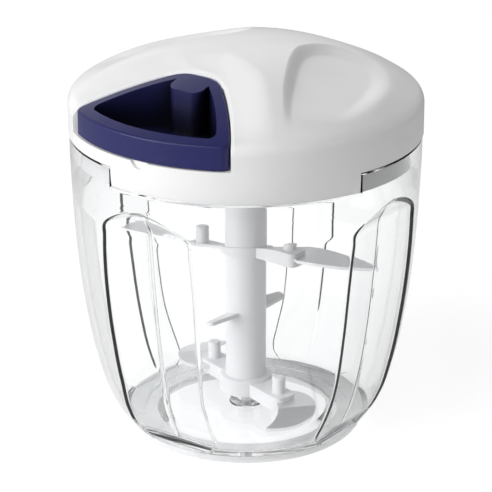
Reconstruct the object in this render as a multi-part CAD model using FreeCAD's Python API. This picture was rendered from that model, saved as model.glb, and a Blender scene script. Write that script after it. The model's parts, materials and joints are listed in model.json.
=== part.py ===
import FreeCAD, Part
import math
import os

V = FreeCAD.Vector
UP = V(0, 0, 1)
CENTRE = V(0, 0, 0)

# A pull-string food chopper. +Z is up, the origin is under the middle of the base, and the
# handle is pulled towards -Y. Millimetres. Headings are degrees from -Y towards +X.

# Fits between pieces
running_fit = 0.05          # radial play of a turning or sliding fit
seat_gap = 0.3              # play between parts that are put together by hand
press_gap = 0.02            # radial play of pieces that are pressed or moulded together

# Lid's outline, which the bowl's rim follows
lid_radius = 67.5
lid_wall = 2.2
skirt_inset = 0.9           # from the lid's side in to the skirt's foot
skirt_taper_height = 7.2
shoulder_radius = 6.0
skirt_height = 22.1         # from the skirt's foot to where the dome would meet the side unrounded
dome_rise = 18.2
dome_power = 2.7            # how flat the dome is at its middle
plug_wall = 2.0
ledge_thickness = 2.5
clear = 200.0               # reach of a cutter that runs right out of the part
past = 5.0                  # how far a cutter runs past the face that it opens

# Bowl
bowl_wall = 2.5
bowl_floor_thickness = 3.8
bowl_rim_z = 113.0          # ledge that carries the two lugs
rim_inset = 0.4             # from the lid's side in to the bowl's rim
neck_inset = 2.9            # from the bowl's rim in to its neck
neck_wall = 2.4
neck_height = 9.0
lug_height = 7.0
lug_starts = [77.5, -102.5]     # headings where the two lugs begin
lug_span = 93.0
inner_corner_radius = 6.5

# Side of the bowl, as shares of the way out and up from the foot ring to the rim
bowl_side = [(0.2085, 0.0507), (0.379, 0.1152), (0.602, 0.2535), (0.782, 0.4378), (0.9147, 0.659),
             (0.9763, 0.8618)]

# Side panels of the bowl, their creases in the same shares
flute_count = 4
flute_heading = 3.0
flute_slope = 4.0           # degrees that each half leans outwards from the crease
flute_crease = [(-0.2085, -0.0415), (-0.0664, 0.0138), (0.199, 0.1244), (0.417, 0.281),
                (0.5735, 0.4608), (0.6967, 0.6774), (0.7536, 0.8065), (0.7773, 0.8571),
                (0.872, 0.8968), (0.9573, 0.9263), (1.09, 0.9677)]

# Foot ring
ring_height = 4.5
ring_radius = 46.0
ring_foot_inset = 4.0       # from the ring's outside in to its foot
ring_wall = 7.0             # from its outside in to the bowl's foot
ring_ledge = 4.5            # width of the part that lies under the bowl's foot
ring_lip = 1.2

# Pivot and blade column
pin_radius = 2.0
pin_reach = 16.8            # height of the pin over the boss
pin_cap = 1.5               # floor that is left under the pin
boss_radius = 6.2
boss_height = 5.2
column_radius = 7.9
column_gap = 1.9            # from the column's top to the mechanism plate
bush_wall = 1.2
bush_length = 20.0
hex_across_flats = 8.0
hex_play = 0.3
spindle_length = 14.0

# Blades
arm_reach = 27.0
arm_width = 9.5
arm_height = 6.5
collar_radius = 10.2
peg_radius = 2.5
peg_place = 21.6            # from the column's axis to a peg's axis
peg_top = 9.0               # height of a peg's top over the blade
blade_thickness = 1.2
blade_root_width = 6.0
blade_width = 15.0
blade_offset = 3.0          # how far the wide part lies to the side that cuts
blade_belly = 2.2           # how far the edges bulge from a straight line
blade_bend = 30.0           # distance from the axis at which the blade is bent down
upper_blade_z = 75.0
upper_blade_heading = 88.5
upper_tip_gap = 2.4         # from a blade's tip to the bowl's creases
upper_sweep = 13.0
upper_tip_drop = 2.0
lower_blade_z = 16.9
lower_blade_heading = 74.5
lower_tip_gap = 3.4
lower_sweep = -26.0
lower_tip_drop = 2.0
hook_belly = 13.0           # how far the hooked blade's outer edge swings to its back
paddle_z = 46.6
paddle_heading = -4.5
paddle_reach = 21.0
paddle_root_width = 8.0
paddle_tip_width = 3.5
paddle_pitch = 14.0
paddle_thickness = 1.4

# Scoops on both sides of the lid's ridge: outline seen from above, open towards the front
scoop_edge = [(56.7, -50.5), (48.0, -39.3), (33.3, -20.1), (19.1, 2.9), (15.5, 19.6), (24.8, 31.4),
              (37.8, 31.5), (48.6, 23.2), (57.2, 6.5), (65.6, -15.7)]
scoop_depth = 6.1           # from the dome's top down to the scoop's flat floor at its start
scoop_start = 20.0          # distance of that start from the middle line
scoop_fall = 12.4           # degrees that the floor falls towards the side
scoop_root_radius = 3.5

# Handle and its pocket
handle_half_angle = 33.5
handle_face_inset = 0.9     # from the lid's side in to the handle's face
handle_nose_y = 26.5        # distance of the handle's nose from the lid's axis
handle_nose_half_width = 8.6
handle_rim_drop = 0.3       # from the dome's rim height down to the front of the handle
handle_nose_drop = 5.3      # from the dome's top down to the handle's nose
handle_side_bulge = 1.3
handle_wall = 4.4
handle_floor = 2.0
handle_corner_radius = 3.0
handle_nose_radius = 12.5
handle_inner_radius = 3.0
handle_edge_radius = 0.9
pocket_gap = 0.4
pocket_wall = 1.8
pocket_lip = 0.35           # how far the lid stands over the handle beside it
boss_half_width = 7.5
boss_length = 7.0
boss_edge_radius = 4.0
notch_radius = 3.6
notch_depth = 1.2
notch_heading = 3.5
sill_thickness = 1.5

# Mechanism plate and drive
plate_thickness = 2.2
plate_gap = 0.4
plate_rim_height = 2.3
stiffener_radius = 26.0
stiffener_wall = 2.0
stiffener_height = 1.6
screw_radius = 1.25
screw_head_radius = 2.8
screw_head_height = 1.5
screw_length = 9.0
screw_inset = 8.4           # from the lid's plug in to the screws
screw_headings = [62.0, 125.0, 235.0, 298.0]
screw_boss_radius = 3.8
journal_radius = 5.0
drive_bush_wall = 1.6
drive_flange = 0.7
drum_height = 5.8
tooth_count = 12
tooth_tip_radius = 12.0
tooth_depth = 1.6
axle_radius = 2.5
axle_boss_radius = 5.6
axle_grip = 6.0             # length of the axle that is held in the lid
washer_radius = 6.0
washer_thickness = 0.3

# Reel, cord and spring
cord_diameter = 1.8
cord_gap = 0.44             # least space between turns
cord_turns = 4.25
reel_core_radius = 15.9
reel_wall = 2.0
reel_flange_radius = 20.5
reel_flange = 1.7
groove_height = 11.7
cover_thickness = 1.5
lead_corner_y = 21.3        # where the cord's lead meets the middle line
lead_bend_radius = 3.0
eyelet_bore = 1.4
eyelet_wall = 1.2
eyelet_flange = 0.7
knot_radius = 2.2
spring_turns = 5
spring_thickness = 0.5
spring_height = 8.0
spring_inner_radius = 3.6

# Pawls
pawl_place = 16.8           # from the reel's axis to a pawl's pin
pawl_angle = 53.0           # from a tooth's face to a pawl's pin
pawl_eye_radius = 2.6
pawl_pin_radius = 1.4
pawl_pin_head = 0.7
pawl_height = 4.8
pawl_gap = 0.25

# Sizes that follow from the ones above
bowl_rim_radius = lid_radius - rim_inset
neck_radius = bowl_rim_radius - neck_inset
skirt_foot_radius = lid_radius - skirt_inset
handle_face_radius = lid_radius - handle_face_inset
ring_foot_radius = ring_radius - ring_foot_inset
ring_seat_radius = ring_radius - ring_wall
ring_inner_radius = ring_seat_radius - ring_ledge
base_z = ring_lip
recess_z = base_z + 3.0
floor_z = recess_z + bowl_floor_thickness
neck_top_z = bowl_rim_z + neck_height
lug_top_z = bowl_rim_z + lug_height
neck_bore = neck_radius - neck_wall
skirt_bottom_z = bowl_rim_z + seat_gap
dome_rim_z = skirt_bottom_z + skirt_height
dome_top_z = dome_rim_z + dome_rise
scoop_floor_z = dome_top_z - scoop_depth
handle_rim_z = dome_rim_z - handle_rim_drop
handle_nose_z = dome_top_z - handle_nose_drop
skirt_bore = neck_radius + seat_gap
plug_radius = neck_bore - plate_gap
screw_place = plug_radius - screw_inset
plate_top_z = neck_top_z - 5.5
plate_bottom_z = plate_top_z - plate_thickness
ledge_top_z = neck_top_z + ledge_thickness
boss_top_z = floor_z + boss_height
pin_top_z = boss_top_z + pin_reach
column_foot_z = boss_top_z + seat_gap
column_top_z = plate_bottom_z - column_gap
drum_bottom_z = plate_top_z + drive_flange + 0.2
drum_top_z = drum_bottom_z + drum_height
reel_bottom_z = drum_top_z + washer_thickness + 2 * running_fit
groove_bottom_z = reel_bottom_z + reel_flange
groove_top_z = groove_bottom_z + groove_height
reel_top_z = groove_top_z + cover_thickness
axle_boss_z = reel_top_z + 0.4
spindle_foot_z = column_top_z - spindle_length
winding_radius = reel_core_radius + cord_diameter / 2 + running_fit
cord_pitch = cord_diameter + cord_gap
cord_exit_z = groove_top_z - cord_diameter / 2 - 0.2
pocket_floor_z = ledge_top_z + sill_thickness
handle_base_z = pocket_floor_z + pocket_gap
eyelet_y = handle_nose_y - pocket_gap - pocket_wall
knot_bore = knot_radius + 0.5
knot_y = handle_nose_y + handle_wall + boss_length / 2 - (knot_bore - knot_radius) + 0.1
knot_face_y = knot_y - knot_radius * 0.8


def at(radius, heading, z=0.0):
    """Point at a distance from the axis, in the heading's direction."""
    a = math.radians(heading)
    return V(radius * math.sin(a), -radius * math.cos(a), z)


def spline(points):
    curve = Part.BSplineCurve()
    curve.interpolate(points)
    return curve.toShape()


def closed_face(start, *steps):
    """Face in the XZ plane from lines, arcs and splines given as (radius, height) points."""
    def place(p):
        return V(p[0], 0, p[1])
    edges = []
    here = place(start)
    for kind, *points in steps:
        points = [place(p) for p in points]
        if kind == "line":
            edges.append(Part.makeLine(here, points[0]))
        elif kind == "arc":
            edges.append(Part.Arc(here, points[0], points[1]).toShape())
        else:
            edges.append(spline([here] + points))
        here = points[-1]
    edges.append(Part.makeLine(here, place(start)))
    return Part.Face(Part.Wire(edges))


def turned(start, *steps):
    return closed_face(start, *steps).revolve(CENTRE, UP, 360)


def rod(radius, z0, z1, centre=CENTRE):
    return Part.makeCylinder(radius, z1 - z0, V(centre.x, centre.y, z0))


def ring(inner, outer, z0, z1, centre=CENTRE):
    return rod(outer, z0, z1, centre).cut(rod(inner, z0 - 1, z1 + 1, centre))


def ring_part(inner, outer, z0, z1, start, span):
    """Part of a ring, from one heading over a span of degrees."""
    whole = Part.makeCylinder(outer, z1 - z0, V(0, 0, z0), UP, span)
    core = Part.makeCylinder(inner, z1 - z0 + 2, V(0, 0, z0 - 1), UP, 360)
    whole.rotate(CENTRE, UP, start - 90)
    return whole.cut(core)


def plate(points, z0, z1):
    """Straight-sided plate over a polygon of (x, y) points."""
    corners = [V(x, y, z0) for x, y in points]
    return Part.Face(Part.makePolygon(corners + corners[:1])).extrude(V(0, 0, z1 - z0))


def turned_about_axis(shape, heading):
    copy = shape.copy()
    copy.rotate(CENTRE, UP, heading)
    return copy


def rotated_copies(shape, count, first=0.0):
    return [turned_about_axis(shape, first + 360.0 * i / count) for i in range(count)]


def joined(shapes):
    return shapes[0].multiFuse(shapes[1:]).removeSplitter() if len(shapes) > 1 else shapes[0]


def hexagon(across_flats, z0, z1):
    radius = across_flats / math.sqrt(3)
    corners = [(radius * math.cos(math.radians(60 * i)), radius * math.sin(math.radians(60 * i)))
               for i in range(6)]
    return plate(corners, z0, z1)


def side_point(share, up):
    """Radius and height at shares of the way from the foot ring to the bowl's rim."""
    return (ring_radius + share * (bowl_rim_radius - ring_radius),
            ring_height + up * (bowl_rim_z - ring_height))


def crease_radius(z):
    """Distance of the side panels' creases from the axis at a height."""
    points = [side_point(*p) for p in flute_crease]
    for (r0, z0), (r1, z1) in zip(points, points[1:]):
        if z <= z1:
            break
    return r0 + (r1 - r0) * (z - z0) / (z1 - z0)


# Bowl
def flute(inset):
    """Cutter for one side panel, its crease moved towards the axis by inset."""
    crease = [side_point(*p) for p in flute_crease]
    crease = [(r - inset, z) for r, z in crease]
    start = crease[0]
    face = closed_face(start, ("spline", *crease[1:]), ("line", (clear, crease[-1][1])),
                       ("line", (clear, start[1])))
    lean = math.tan(math.radians(flute_slope))
    halves = [face.extrude(V(lean, side, 0) * bowl_rim_radius) for side in (-1, 1)]
    return joined(halves)


def bowl():
    side = [side_point(*p) for p in bowl_side]
    wall_side = [(r - bowl_wall, z) for r, z in side]
    corner = wall_side[0]
    body = turned(
        (0, recess_z),
        ("line", (ring_inner_radius - 3, recess_z)),
        ("line", (ring_inner_radius, base_z)),
        ("line", (ring_seat_radius, base_z)),
        ("line", (ring_seat_radius, ring_height)),
        ("line", (ring_radius, ring_height)),
        ("spline", *side, (bowl_rim_radius, bowl_rim_z)),
        ("line", (neck_radius, bowl_rim_z)),
        ("line", (neck_radius, neck_top_z - 0.6)),
        ("line", (neck_radius - 0.6, neck_top_z)),
        ("line", (0, neck_top_z)))
    hollow = turned(
        (0, floor_z),
        ("line", (corner[0] - inner_corner_radius, floor_z)),
        ("arc", (corner[0] - inner_corner_radius * 0.35, floor_z + (corner[1] - floor_z) * 0.36), corner),
        ("spline", *wall_side[1:], (neck_bore, bowl_rim_z - 1.0)),
        ("line", (neck_bore, neck_top_z + 1)),
        ("line", (0, neck_top_z + 1)))
    first = flute_heading - 90
    outer_flutes = rotated_copies(flute(0), flute_count, first)
    inner_flutes = rotated_copies(flute(bowl_wall), flute_count, first)
    # The panels stop at the foot ring.
    above_ring = rod(clear, ring_height, bowl_rim_z)
    for cutter in outer_flutes:
        body = body.cut(cutter.common(above_ring))
    for cutter in inner_flutes:
        hollow = hollow.cut(cutter)
    body = body.cut(hollow)
    lugs = [ring_part(neck_radius - 0.5, bowl_rim_radius, bowl_rim_z, lug_top_z, start, lug_span)
            for start in lug_starts]
    boss = rod(boss_radius, recess_z + 1, boss_top_z)
    body = joined([body, boss] + lugs)
    return body.cut(rod(pin_radius + running_fit, recess_z + pin_cap, boss_top_z + 1))


def base_grip_ring():
    seat = ring_seat_radius + press_gap
    return turned(
        (ring_inner_radius, 0.0),
        ("line", (ring_foot_radius, 0.0)),
        ("arc", (ring_foot_radius + 2.4, 1.6), (ring_radius, ring_height)),
        ("line", (seat, ring_height)),
        ("line", (seat, ring_lip)),
        ("line", (ring_inner_radius, ring_lip)))


# Blade unit
def pivot_pin():
    pin = rod(pin_radius, recess_z + pin_cap + 0.1, pin_top_z)
    return pin.makeChamfer(0.5, [pin.Edges[0]])


def column_bush():
    bore = pin_radius + running_fit
    return ring(bore, bore + bush_wall, column_foot_z, column_foot_z + bush_length)


def blade_column():
    shaft = turned(
        (0, column_foot_z),
        ("line", (column_radius, column_foot_z)),
        ("line", (column_radius, column_top_z)),
        ("line", (0, column_top_z)))
    bush = pin_radius + running_fit + bush_wall + press_gap
    shaft = shaft.cut(rod(bush, column_foot_z - 1, column_foot_z + bush_length + 0.5))
    socket = hexagon(hex_across_flats + 2 * hex_play, spindle_foot_z - 0.5, column_top_z + 1)
    return shaft.cut(socket).cut(middle_paddle())


def bulged(a, b, side):
    """Arc from a to b that bulges by the blade's belly, to the right (1) or the left (-1)."""
    along = (b - a).normalize()
    return Part.Arc(a, (a + b) * 0.5 + V(along.y, -along.x, 0) * (blade_belly * side), b).toShape()


def blade_wing(tip_radius, sweep):
    """One wing in plan: root along +X, tip swept anticlockwise."""
    root = blade_root_width / 2
    half = blade_width / 2
    start = collar_radius - 2.5
    tip = at(tip_radius, sweep + 90)
    p1 = V(start, -root, 0)
    p2 = V(arm_reach - 2.0, -root, 0)
    p3 = V(arm_reach + 2.0, blade_offset - half, 0)
    p4 = V(arm_reach - 2.0, blade_offset + half, 0)
    p5 = V(arm_reach - 10.0, root, 0)
    p6 = V(start, root, 0)
    edges = [Part.makeLine(p1, p2), Part.makeLine(p2, p3), bulged(p3, tip, 1), bulged(tip, p4, 1),
             bulged(p4, p5, 1), Part.makeLine(p5, p6), Part.makeLine(p6, p1)]
    return Part.Face(Part.Wire(edges))


def hooked_wing(tip_radius, sweep):
    """One sickle-shaped wing in plan: root along +X, tip hooked clockwise."""
    root = blade_root_width / 2
    start = collar_radius - 2.5
    tip = at(tip_radius, sweep + 90)
    p1 = V(start, -root, 0)
    p2 = V(arm_reach - 6.0, -root, 0)
    inner = (p2 + tip) * 0.5 + V(3.0, 2.0, 0)
    shoulder = V(arm_reach + 2.0, hook_belly * 0.75, 0)
    outer = at(tip_radius, sweep * 0.2 + 90)
    p5 = V(arm_reach - 10.0, root, 0)
    p6 = V(start, root, 0)
    edges = [Part.makeLine(p1, p2), Part.Arc(p2, inner, tip).toShape(),
             Part.Arc(tip, outer, shoulder).toShape(), bulged(shoulder, p5, 1),
             Part.makeLine(p5, p6), Part.makeLine(p6, p1)]
    return Part.Face(Part.Wire(edges))


def blade(z, wing_face, tip_radius, sweep, tip_drop):
    """Double-ended steel blade: the plan outline cut from a strip whose ends are bent."""
    low = z - blade_thickness / 2
    end = tip_radius + 4
    end_drop = tip_drop * (end - blade_bend) / (tip_radius - blade_bend)
    wing = wing_face.extrude(V(0, 0, clear))
    wing.translate(V(0, 0, z - clear / 2))
    eye = rod(collar_radius - 1.4, z - clear / 2, z + clear / 2)
    plan = joined([eye] + rotated_copies(wing, 2))
    line = [(-end, -end_drop), (-blade_bend, 0), (blade_bend, 0), (end, -end_drop)]
    top = [V(x, -end, low + blade_thickness + dz) for x, dz in line]
    bottom = [V(x, -end, low + dz) for x, dz in reversed(line)]
    strip = Part.Face(Part.makePolygon(top + bottom + top[:1])).extrude(V(0, 2 * end, 0))
    strip.rotate(CENTRE, UP, sweep)
    sheet = plan.common(strip)
    sheet = sheet.cut(rod(column_radius + press_gap, z - clear, z + clear))
    return sheet.cut(pegs(z, press_gap, 0.0))


def middle_paddle():
    """Short pitched paddle on both sides of the column, moulded into it."""
    root, tip = paddle_root_width / 2, paddle_tip_width / 2
    low = -paddle_thickness / 2
    wing = plate([(0, -root), (paddle_reach, -tip), (paddle_reach, tip), (0, root)], low,
                 low + paddle_thickness)
    ends = uprights(wing, lambda p: p.x > paddle_reach / 2)
    wing = wing.makeFillet(tip * 0.9, ends)
    wing.rotate(CENTRE, V(1, 0, 0), paddle_pitch)
    wing.translate(V(0, 0, paddle_z))
    return turned_about_axis(joined(rotated_copies(wing, 2)), paddle_heading - 90)


def peg_points():
    return [V(side * peg_place, 0, 0) for side in (-1, 1)]


def pegs(z, extra, rounding=0.8):
    """The two pegs of one blade, along X, each thicker by extra."""
    made = []
    for place in peg_points():
        peg = rod(peg_radius + extra, z - arm_height / 2 + 0.2, z + peg_top, place)
        if rounding:
            top = [e for e in peg.Edges if abs(e.CenterOfMass.z - z - peg_top) < 0.01]
            peg = peg.makeFillet(rounding, top[:1])
        made.append(peg)
    return Part.makeCompound(made)


def blade_arm(z, bottom_z):
    """Collar with two short arms, moulded round the blade."""
    top = bottom_z + arm_height
    collar = rod(collar_radius, bottom_z, top)
    half = arm_width / 2
    bar = plate([(-arm_reach, -half), (arm_reach, -half), (arm_reach, half), (-arm_reach, half)],
                bottom_z, top - 1.0)
    rounds = [e for e in bar.Edges if abs(e.Vertexes[0].Z - e.Vertexes[1].Z) > 1]
    bar = bar.makeFillet(half * 0.6, rounds)
    arm = joined([collar, bar])
    rim = [e for e in arm.Edges if abs(e.BoundBox.ZMin - top) < 0.01 and e.BoundBox.ZLength < 0.01]
    return arm.makeFillet(0.8, rim)


def blade_set(z, heading, wing, tip_gap, sweep, tip_drop):
    """Arm, blade and pegs of one level, turned to the arms' heading."""
    bottom_z = z - arm_height / 2
    tip_radius = crease_radius(z - tip_drop) - bowl_wall - tip_gap
    bare = blade_arm(z, bottom_z)
    steel = blade(z, wing(tip_radius, sweep), tip_radius, sweep, tip_drop)
    arm = bare.cut(rod(column_radius + press_gap, bottom_z - 1, bottom_z + arm_height + 1))
    arm = arm.cut(steel).cut(pegs(z, press_gap, 0.0))
    return [turned_about_axis(s, heading - 90) for s in (arm, steel, pegs(z, 0.0))]


# Handle
def handle_plan(grow, face_radius):
    """Plan outline of the handle as a wire, its straight sides moved outwards by grow."""
    half = math.radians(handle_half_angle)
    corner = V(handle_face_radius * math.sin(half), -handle_face_radius * math.cos(half), 0)
    nose = V(handle_nose_half_width, -handle_nose_y, 0)
    side = (corner - nose).normalize()
    start = nose + V(-side.y, side.x, 0) * grow
    near = start + side * ((nose.y + grow - start.y) / side.y)
    b = start.dot(side)
    far = start + side * (math.sqrt(b * b - start.dot(start) + face_radius ** 2) - b)
    points = [far, near, V(-near.x, near.y, 0), V(-far.x, far.y, 0)]
    swell = V(-side.y, side.x, 0) * handle_side_bulge
    right = (far + near) * 0.5 + swell
    edges = [Part.Arc(far, right, near).toShape(),
             Part.makeLine(points[1], points[2]),
             Part.Arc(points[2], V(-right.x, right.y, 0), points[3]).toShape(),
             Part.Arc(points[3], V(0, -face_radius, 0), points[0]).toShape()]
    return Part.Wire(edges)


def prism(wire, z0, z1):
    solid = Part.Face(wire).extrude(V(0, 0, z1 - z0))
    solid.translate(V(0, 0, z0))
    return solid


def uprights(solid, keep):
    """Vertical straight edges of a solid at the places that keep accepts."""
    found = []
    for e in solid.Edges:
        a, b = e.Vertexes[0].Point, e.Vertexes[-1].Point
        if abs(a.x - b.x) < 0.01 and abs(a.y - b.y) < 0.01 and abs(a.z - b.z) > 1 and keep(a):
            found.append(e)
    return found


def handle_block(grow, face_radius, z0, z1):
    """Handle outline as a rounded block; a wall moved outwards keeps the corner's centre."""
    block = prism(handle_plan(grow, face_radius), z0, z1)
    middle_y = -(handle_nose_y + handle_face_radius) / 2
    nose = uprights(block, lambda p: p.y > middle_y)
    block = block.makeFillet(handle_nose_radius + grow, nose)
    if face_radius == handle_face_radius:
        block = block.makeFillet(handle_corner_radius, uprights(block, lambda p: p.y < middle_y))
    return block


def handle_top():
    """Three (radius, height) points of the arc over the handle's top, its front end first."""
    middle_r = (handle_face_radius + handle_nose_y) / 2
    middle_z = (handle_rim_z + handle_nose_z) / 2 + 0.5
    return [(handle_face_radius + 1, handle_rim_z - 0.3), (middle_r, middle_z),
            (handle_nose_y - 2, handle_nose_z + 0.6)]


def handle_dome():
    """Space under the handle's sloping top."""
    front, middle, back = handle_top()
    return turned(
        (0, 0),
        ("line", (clear, 0)),
        ("line", (clear, front[1] - 4)),
        ("line", front),
        ("arc", middle, back),
        ("line", (0, back[1] + 1.4)))


def handle():
    """Triangular cup with a boss at its nose, whose bore holds the cord's knot from below."""
    block = handle_block(0, handle_face_radius, handle_base_z, dome_top_z)
    block = block.common(handle_dome())
    rim = [e for e in block.Edges if e.BoundBox.ZMin > handle_rim_z - 1.5]
    block = block.makeFillet(handle_edge_radius, rim)
    inner_radius = handle_face_radius - handle_wall
    cup = prism(handle_plan(-handle_wall, inner_radius), handle_base_z + handle_floor, dome_top_z)
    cup = cup.makeFillet(handle_inner_radius, uprights(cup, lambda p: True))
    nose_inside = -handle_nose_y - handle_wall
    boss_end = nose_inside - boss_length
    boss = plate([(-boss_half_width, nose_inside + 3), (-boss_half_width, boss_end),
                  (boss_half_width, boss_end), (boss_half_width, nose_inside + 3)],
                 handle_base_z, dome_top_z)
    boss = boss.makeFillet(boss_edge_radius, uprights(boss, lambda p: p.y < nose_inside))
    shell = joined([block.cut(cup), boss.common(block)])
    chamber = V(0, nose_inside - boss_length / 2, 0)
    shell = shell.cut(rod(knot_bore, handle_base_z - 1, cord_exit_z + knot_bore, chamber))
    return shell.cut(Part.makeCylinder(cord_diameter / 2 + 0.4, -chamber.y - handle_nose_y + past,
                                       V(0, -handle_nose_y + past, cord_exit_z), V(0, -1, 0)))


# Lid
def dome_z(r):
    """Height of the lid's dome at a distance from its axis."""
    return dome_rim_z + (dome_top_z - dome_rim_z) * (1 - (r / lid_radius) ** dome_power)


def shoulder_points(radius):
    """Start, middle and end of the rounding between the lid's side and its dome, on the same centre."""
    edge_r = lid_radius - 0.44 * shoulder_radius
    slope = (dome_z(edge_r - 1) - dome_z(edge_r + 1)) / 2
    end = math.atan2(1, slope)
    centre = (edge_r - shoulder_radius * math.cos(end), dome_z(edge_r) - shoulder_radius * math.sin(end))
    return [(centre[0] + radius * math.cos(end * part), centre[1] + radius * math.sin(end * part))
            for part in (0, 0.5, 1)]


def scoop(grow):
    """Cutter for the right-hand scoop, its wall moved outwards and its floor downwards."""
    curve = Part.BSplineCurve()
    curve.interpolate([V(x, y, 0) for x, y in scoop_edge])
    outline = []
    for x, y in scoop_edge:
        along = curve.tangent(curve.parameter(V(x, y, 0)))[0]
        outline.append(V(x - along.y * grow, y + along.x * grow, 0))
    start, end = outline[0], outline[-1]
    outer = [end, V(clear, end.y, 0), V(clear, start.y, 0), start]
    wire = Part.Wire([spline(outline)] + [Part.makeLine(a, b) for a, b in zip(outer, outer[1:])])
    above = Part.makeBox(2 * clear, 2 * clear, clear, V(-clear, -clear, 0))
    above.rotate(CENTRE, V(0, 1, 0), scoop_fall)
    above.translate(V(scoop_start, 0, scoop_floor_z - grow))
    cutter = prism(wire, 0, clear).common(above)
    root = [e for e in cutter.Edges
            if isinstance(e.Curve, Part.BSplineCurve) and e.BoundBox.ZMax < dome_top_z]
    return cutter.makeFillet(scoop_root_radius, root)


def front_cutter(drop):
    """Everything over the lid's front, which is level with the handle's top."""
    front, middle, back = [(r, z + pocket_lip - drop) for r, z in handle_top()]
    slope = (back[1] - middle[1]) / (middle[0] - back[0])
    face = closed_face(front, ("arc", middle, back), ("line", (0, back[1] + slope * back[0])),
                       ("line", (0, clear)), ("line", (clear, clear)), ("line", (clear, front[1])))
    whole = face.extrude(V(0, 2 * clear, 0))
    whole.translate(V(0, -clear, 0))
    return turned_about_axis(whole, -90)


def lid_cover():
    inner_radius = lid_radius - lid_wall
    rounding = shoulder_points(shoulder_radius)
    inner_rounding = shoulder_points(shoulder_radius - lid_wall)
    dome = [(lid_radius * share, dome_z(lid_radius * share)) for share in (0.88, 0.75, 0.55, 0.3)]
    outside = turned(
        (0, skirt_bottom_z),
        ("line", (skirt_foot_radius, skirt_bottom_z)),
        ("line", (lid_radius, skirt_bottom_z + skirt_taper_height)),
        ("line", rounding[0]),
        ("arc", rounding[1], rounding[2]),
        ("spline", *dome, (0, dome_top_z)))
    hollow = turned(
        (0, skirt_bottom_z - 1),
        ("line", (skirt_bore, skirt_bottom_z - 1)),
        ("line", (skirt_bore, neck_top_z)),
        ("line", (plug_radius, neck_top_z)),
        ("line", (plug_radius, plate_top_z)),
        ("line", (plug_radius - plug_wall, plate_top_z)),
        ("line", (plug_radius - plug_wall, ledge_top_z)),
        ("line", (inner_radius, ledge_top_z)),
        ("line", inner_rounding[0]),
        ("arc", inner_rounding[1], inner_rounding[2]),
        ("spline", *[(r - lid_wall * 0.25, z - lid_wall) for r, z in dome], (0, dome_top_z - lid_wall)))
    outside = outside.cut(front_cutter(0))
    hollow = hollow.cut(front_cutter(lid_wall))
    for solid_scoop in (scoop(0), scoop(0).mirror(CENTRE, V(1, 0, 0))):
        outside = outside.cut(solid_scoop)
    for solid_scoop in (scoop(lid_wall), scoop(lid_wall).mirror(CENTRE, V(1, 0, 0))):
        hollow = hollow.cut(solid_scoop)
    pocket = handle_block(pocket_gap, lid_radius + past, pocket_floor_z, clear)
    walls = handle_block(pocket_gap + pocket_wall, lid_radius + past, ledge_top_z, clear)
    hollow = hollow.cut(walls)
    posts = [rod(screw_boss_radius, plate_top_z, dome_top_z, at(screw_place, h))
             for h in screw_headings]
    posts.append(rod(axle_boss_radius, axle_boss_z, dome_top_z))
    shell = outside.cut(hollow)
    shell = joined([shell] + [p.common(outside) for p in posts])
    shell = shell.cut(pocket)
    for h in screw_headings:
        shell = shell.cut(rod(screw_radius + press_gap, plate_top_z - 1, plate_top_z + screw_length,
                              at(screw_place, h)))
    shell = shell.cut(rod(axle_radius + press_gap, axle_boss_z - 1, axle_boss_z + axle_grip))
    shell = shell.cut(Part.makeCylinder(eyelet_bore + eyelet_wall + press_gap, 2 * past,
                                        V(0, -eyelet_y + 3, cord_exit_z), V(0, -1, 0)))
    notch = Part.makeCylinder(notch_radius, notch_depth + past,
                              V(0, -lid_radius + notch_depth, pocket_floor_z + 0.8), V(0, -1, 0))
    notch.rotate(CENTRE, UP, notch_heading)
    shell = shell.cut(notch)
    # The bowl's lugs fill the gaps between the skirt's tabs.
    for start in lug_starts:
        play = math.degrees(seat_gap / neck_radius)
        shell = shell.cut(ring_part(plug_radius + 1.0, lid_radius + past, skirt_bottom_z - 1,
                                    lug_top_z + seat_gap, start - play, lug_span + 2 * play))
    return shell


def mechanism_plate():
    disc = ring(journal_radius + running_fit + drive_bush_wall + press_gap, plug_radius,
                plate_bottom_z, plate_top_z)
    stiffener = ring(stiffener_radius, stiffener_radius + stiffener_wall,
                     plate_bottom_z - stiffener_height, plate_bottom_z)
    rim = ring(plug_radius - plug_wall, plug_radius, plate_bottom_z - plate_rim_height, plate_bottom_z)
    disc = joined([disc, stiffener, rim])
    for h in screw_headings:
        disc = disc.cut(rod(screw_radius + 0.2, plate_bottom_z - 1, plate_top_z + 1,
                            at(screw_place, h)))
    return disc


def plate_screws():
    """The plate's screws, with round heads and a cross slot."""
    made = []
    for h in screw_headings:
        place = at(screw_place, h)
        head = rod(screw_head_radius, plate_bottom_z - screw_head_height, plate_bottom_z, place)
        head = head.makeFillet(0.7, [e for e in head.Edges
                                     if abs(e.BoundBox.ZMax - plate_bottom_z + screw_head_height) < 0.01])
        shank = rod(screw_radius, plate_bottom_z - 0.5, plate_top_z + screw_length - 0.5, place)
        slot_z = plate_bottom_z - screw_head_height
        for turn in (0, 90):
            slot = Part.makeBox(3.2, 0.7, 0.8, V(-1.6, -0.35, 0))
            slot.rotate(CENTRE, UP, turn)
            slot.translate(V(place.x, place.y, slot_z))
            head = head.cut(slot)
        made.append(joined([head, shank]))
    return Part.makeCompound(made)


# Drive
def drive_bush():
    bore = journal_radius + running_fit
    sleeve = ring(bore, bore + drive_bush_wall, plate_bottom_z, plate_top_z)
    collar = ring(bore, bore + drive_bush_wall + 1.2, plate_top_z, plate_top_z + drive_flange)
    return joined([sleeve, collar])


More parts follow.
